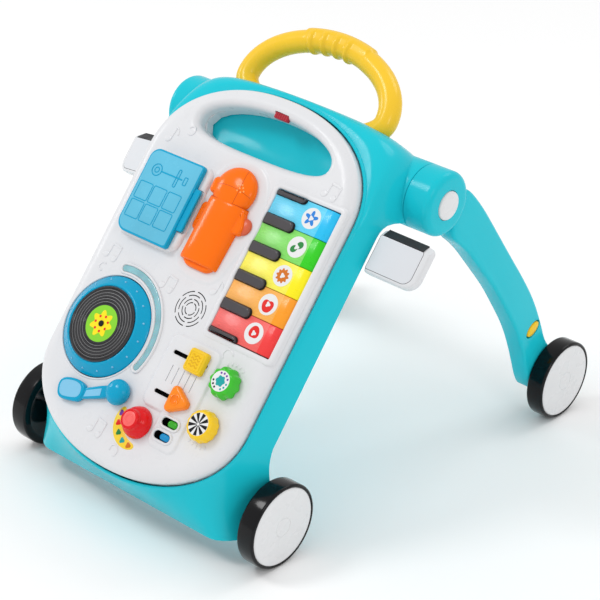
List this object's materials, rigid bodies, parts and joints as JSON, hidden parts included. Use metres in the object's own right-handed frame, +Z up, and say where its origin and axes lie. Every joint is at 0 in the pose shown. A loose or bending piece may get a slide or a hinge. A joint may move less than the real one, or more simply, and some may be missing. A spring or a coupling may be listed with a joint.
{
  "type": "baby walker",
  "caption": "Push-along walker on wheels with folding rear legs, an arched handle and a lift-off music board with piano keys, turntable, knobs, sliders and doors.",
  "frame": {"origin": "on the floor, under the middle of the overall box", "axes": "+Z up; the music board faces -Y; the handle and the rear wheels are on the +Y side; +X is the right of someone who faces the board"},
  "size_m": [0.4428, 0.6029, 0.47],
  "materials": {
    "teal_plastic": "gloss",
    "yellow_handle": "gloss",
    "yellow_controls": "gloss",
    "white_plastic": "gloss",
    "black_tyre": "gloss",
    "blue_plastic": "gloss",
    "orange_plastic": "gloss",
    "red_plastic": "gloss",
    "green_plastic": "gloss",
    "dark_red_plastic": "gloss",
    "lilac_plate": "gloss",
    "rubber_strip": "satin",
    "key_sky": "gloss",
    "key_leaf": "gloss",
    "key_sun": "gloss",
    "key_amber": "gloss",
    "key_coral": "gloss",
    "dark_gloss": "gloss",
    "aqua_clear": "gloss",
    "steel": "brushed",
    "cell_wrap": "satin",
    "circuit": "satin",
    "speaker_black": "satin"
  },
  "bodies": {
    "frame": {"front_shell": "teal_plastic", "rear_shell": "teal_plastic", "handle": "yellow_handle", "front_axle": "steel"},
    "leg_left": {"leg_left": "teal_plastic", "leg_cover_left": "teal_plastic", "hinge_pin_left": "steel", "rear_axle_left": "steel"},
    "lock_button_left": {"lock_button_left": "white_plastic"},
    "roll_selector_left": {"roll_selector_left": "yellow_controls"},
    "wheel_front_left": {"tyre_front_left": "black_tyre", "hub_front_left": "white_plastic"},
    "wheel_rear_left": {"tyre_rear_left": "black_tyre", "hub_rear_left": "white_plastic"},
    "flap_left": {"side_flap_left": "white_plastic", "flap_face_left": "lilac_plate", "flap_pad_left": "rubber_strip"},
    "leg_right": {"leg_right": "teal_plastic", "leg_cover_right": "teal_plastic", "hinge_pin_right": "steel", "rear_axle_right": "steel"},
    "lock_button_right": {"lock_button_right": "white_plastic"},
    "roll_selector_right": {"roll_selector_right": "yellow_controls"},
    "wheel_front_right": {"tyre_front_right": "black_tyre", "hub_front_right": "white_plastic"},
    "wheel_rear_right": {"tyre_rear_right": "black_tyre", "hub_rear_right": "white_plastic"},
    "flap_right": {"side_flap_right": "white_plastic", "flap_face_right": "lilac_plate", "flap_pad_right": "rubber_strip"},
    "music_board": {"board_top": "white_plastic", "board_back": "white_plastic", "battery_door": "white_plastic", "battery_screw": "steel", "battery_cell_1": "cell_wrap", "battery_cell_2": "cell_wrap", "battery_cell_3": "cell_wrap", "circuit_board": "circuit", "speaker": "speaker_black", "light_strip": "aqua_clear", "dark_keys": "dark_gloss"},
    "release_latch": {"release_latch": "dark_red_plastic"},
    "blue_door": {"blue_door": "blue_plastic"},
    "microphone_door": {"microphone_door": "orange_plastic"},
    "piano_key_1": {"piano_key_1": "key_sky"},
    "piano_key_2": {"piano_key_2": "key_leaf"},
    "piano_key_3": {"piano_key_3": "key_sun"},
    "piano_key_4": {"piano_key_4": "key_amber"},
    "piano_key_5": {"piano_key_5": "key_coral"},
    "turntable": {"platter": "blue_plastic", "record": "dark_gloss"},
    "tone_arm": {"tone_arm": "blue_plastic"},
    "mode_knob": {"mode_knob": "red_plastic"},
    "green_knob": {"green_knob": "green_plastic"},
    "yellow_knob": {"yellow_knob": "yellow_controls"},
    "square_slider": {"square_slider": "yellow_controls"},
    "triangle_slider": {"triangle_slider": "orange_plastic"},
    "green_switch": {"green_switch": "green_plastic"},
    "blue_switch": {"blue_switch": "blue_plastic"}
  },
  "joints": [
    {"name": "leg_fold_left", "type": "hinge", "parent": "frame", "child": "leg_left", "pos_m": [-0.175, 0.0149, 0.3434], "axis": [1, 0, 0], "range_deg": [-60, 0]},
    {"name": "lock_button_press_left", "type": "slide", "parent": "leg_left", "child": "lock_button_left", "axis": [1, 0, 0], "range_m": [0, 0.003], "stiffness_N_per_m": 300},
    {"name": "roll_selector_slide_left", "type": "slide", "parent": "leg_left", "child": "roll_selector_left", "axis": [0, 0.866, 0.5], "range_m": [-0.002, 0.002]},
    {"name": "wheel_front_spin_left", "type": "hinge", "parent": "frame", "child": "wheel_front_left", "pos_m": [-0.1729, -0.2163, 0.048], "axis": [1, 0, 0], "continuous": true},
    {"name": "wheel_rear_spin_left", "type": "hinge", "parent": "leg_left", "child": "wheel_rear_left", "pos_m": [-0.198, 0.2541, 0.048], "axis": [1, 0, 0], "continuous": true},
    {"name": "flap_fold_left", "type": "hinge", "parent": "frame", "child": "flap_left", "pos_m": [-0.1615, -0.06621, 0.30759], "axis": [0, -0.6165, -0.7874], "range_deg": [-25, 30]},
    {"name": "leg_fold_right", "type": "hinge", "parent": "frame", "child": "leg_right", "pos_m": [0.175, 0.0149, 0.3434], "axis": [1, 0, 0], "range_deg": [-60, 0]},
    {"name": "lock_button_press_right", "type": "slide", "parent": "leg_right", "child": "lock_button_right", "axis": [-1, 0, 0], "range_m": [0, 0.003], "stiffness_N_per_m": 300},
    {"name": "roll_selector_slide_right", "type": "slide", "parent": "leg_right", "child": "roll_selector_right", "axis": [0, 0.866, 0.5], "range_m": [-0.002, 0.002]},
    {"name": "wheel_front_spin_right", "type": "hinge", "parent": "frame", "child": "wheel_front_right", "pos_m": [0.1729, -0.2163, 0.048], "axis": [1, 0, 0], "continuous": true},
    {"name": "wheel_rear_spin_right", "type": "hinge", "parent": "leg_right", "child": "wheel_rear_right", "pos_m": [0.198, 0.2541, 0.048], "axis": [1, 0, 0], "continuous": true},
    {"name": "flap_fold_right", "type": "hinge", "parent": "frame", "child": "flap_right", "pos_m": [0.1615, -0.06621, 0.30759], "axis": [0, 0.6165, 0.7874], "range_deg": [-5, 50]},
    {"name": "board_lift_off", "type": "slide", "parent": "frame", "child": "music_board", "axis": [0, -0.7874, 0.6165], "range_m": [0, 0.12]},
    {"name": "latch_slide", "type": "slide", "parent": "music_board", "child": "release_latch", "axis": [0, 0.6165, 0.7874], "range_m": [0, 0.0025], "stiffness_N_per_m": 300, "springref_m": -0.002},
    {"name": "blue_door_hinge", "type": "hinge", "parent": "music_board", "child": "blue_door", "pos_m": [-0.119, -0.13713, 0.3085], "axis": [0, -0.6165, -0.7874], "range_deg": [0, 120]},
    {"name": "microphone_door_hinge", "type": "hinge", "parent": "music_board", "child": "microphone_door", "pos_m": [-0.023, -0.138, 0.29457], "axis": [0, -0.6165, -0.7874], "range_deg": [0, 75]},
    {"name": "piano_key_press_1", "type": "hinge", "parent": "music_board", "child": "piano_key_1", "pos_m": [0.0445, -0.0993, 0.33248], "axis": [0, 0.6165, 0.7874], "range_deg": [0, 1.3], "stiffness_Nm_per_rad": 0.5, "springref_deg": -1.72},
    {"name": "piano_key_press_2", "type": "hinge", "parent": "music_board", "child": "piano_key_2", "pos_m": [0.0445, -0.11965, 0.3065], "axis": [0, 0.6165, 0.7874], "range_deg": [0, 1.3], "stiffness_Nm_per_rad": 0.5, "springref_deg": -1.72},
    {"name": "piano_key_press_3", "type": "hinge", "parent": "music_board", "child": "piano_key_3", "pos_m": [0.0445, -0.13999, 0.28051], "axis": [0, 0.6165, 0.7874], "range_deg": [0, 1.3], "stiffness_Nm_per_rad": 0.5, "springref_deg": -1.72},
    {"name": "piano_key_press_4", "type": "hinge", "parent": "music_board", "child": "piano_key_4", "pos_m": [0.0445, -0.16033, 0.25453], "axis": [0, 0.6165, 0.7874], "range_deg": [0, 1.3], "stiffness_Nm_per_rad": 0.5, "springref_deg": -1.72},
    {"name": "piano_key_press_5", "type": "hinge", "parent": "music_board", "child": "piano_key_5", "pos_m": [0.0445, -0.18068, 0.22855], "axis": [0, 0.6165, 0.7874], "range_deg": [0, 1.3], "stiffness_Nm_per_rad": 0.5, "springref_deg": -1.72},
    {"name": "turntable_spin", "type": "hinge", "parent": "music_board", "child": "turntable", "pos_m": [-0.0744, -0.22183, 0.18507], "axis": [0, -0.7874, 0.6165], "continuous": true},
    {"name": "tone_arm_swing", "type": "hinge", "parent": "music_board", "child": "tone_arm", "pos_m": [-0.0155, -0.25703, 0.14011], "axis": [0, -0.7874, 0.6165], "range_deg": [-7, 18]},
    {"name": "mode_knob_turn", "type": "hinge", "parent": "music_board", "child": "mode_knob", "pos_m": [0.023, -0.26844, 0.12555], "axis": [0, -0.7874, 0.6165], "range_deg": [-40, 40]},
    {"name": "green_knob_spin", "type": "hinge", "parent": "music_board", "child": "green_knob", "pos_m": [0.1032, -0.22109, 0.18602], "axis": [0, -0.7874, 0.6165], "continuous": true},
    {"name": "yellow_knob_spin", "type": "hinge", "parent": "music_board", "child": "yellow_knob", "pos_m": [0.1026, -0.25142, 0.14728], "axis": [0, -0.7874, 0.6165], "continuous": true},
    {"name": "square_slider_slide", "type": "slide", "parent": "music_board", "child": "square_slider", "axis": [1, 0, 0], "range_m": [-0.03, 0.008]},
    {"name": "triangle_slider_slide", "type": "slide", "parent": "music_board", "child": "triangle_slider", "axis": [1, 0, 0], "range_m": [-0.028, 0.009]},
    {"name": "green_switch_slide", "type": "slide", "parent": "music_board", "child": "green_switch", "axis": [1, 0, 0], "range_m": [-0.007, 0]},
    {"name": "blue_switch_slide", "type": "slide", "parent": "music_board", "child": "blue_switch", "axis": [1, 0, 0], "range_m": [-0.007, 0]}
  ]
}
